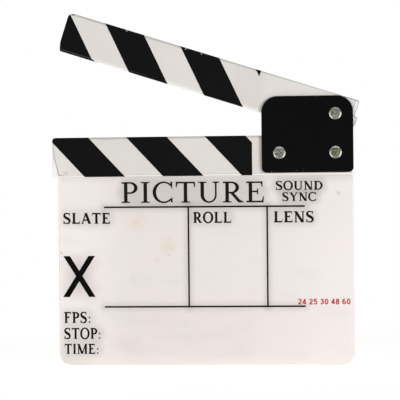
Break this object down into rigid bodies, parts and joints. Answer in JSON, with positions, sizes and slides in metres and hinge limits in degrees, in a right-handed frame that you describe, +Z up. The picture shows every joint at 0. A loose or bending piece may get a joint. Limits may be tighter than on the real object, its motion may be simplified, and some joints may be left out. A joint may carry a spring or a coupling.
{
  "type": "clapperboard",
  "caption": "Clapperboard: a pale slate board under a striped stick, with a striped upper stick that swings on a black plate hinge and claps shut.",
  "frame": {"origin": "middle of the slate board's bottom edge, at half its thickness", "axes": "+X along the sticks towards the hinge, +Y to the rear, away from the writing side, +Z up"},
  "size_m": [0.301, 0.0218, 0.3456],
  "materials": {
    "opal_acrylic": "satin opal sheet",
    "white_acrylic": "sawn and eased",
    "facing_film": "satin film",
    "black_vinyl": "satin, worn edges",
    "black_plate": "satin paint",
    "bright_post": "turned, bright",
    "bush_brass": "turned",
    "nylon": "natural",
    "screw_zinc": "zinc plated",
    "legend_ink": "screen printed",
    "red_ink": "screen printed"
  },
  "bodies": {
    "slate": {"slate_board": "opal_acrylic", "lower_stick": "white_acrylic", "lower_stick_film": "facing_film", "lower_stripe_1": "black_vinyl", "lower_stripe_2": "black_vinyl", "lower_stripe_3": "black_vinyl", "front_hinge_plate": "black_plate", "rear_hinge_plate": "black_plate", "pivot_post": "bright_post", "inner_post": "bright_post", "outer_post": "bright_post", "pivot_screw": "bright_post", "inner_screw": "bright_post", "outer_screw": "bright_post", "front_pivot_washer": "nylon", "rear_pivot_washer": "nylon", "inner_front_spacer": "nylon", "inner_rear_spacer": "nylon", "outer_front_spacer": "nylon", "outer_rear_spacer": "nylon", "board_screws": "screw_zinc"},
    "clapper": {"upper_stick": "white_acrylic", "upper_stick_film": "facing_film", "pivot_bush": "bush_brass", "upper_stripe_1": "black_vinyl", "upper_stripe_2": "black_vinyl", "upper_stripe_3": "black_vinyl", "upper_stripe_4": "black_vinyl"}
  },
  "joints": [
    {"name": "clap_hinge", "type": "hinge", "parent": "slate", "child": "clapper", "pos_m": [0.1277, 0, 0.2443], "axis": [0, 1, 0], "range_deg": [-17.8, 67.2]}
  ]
}
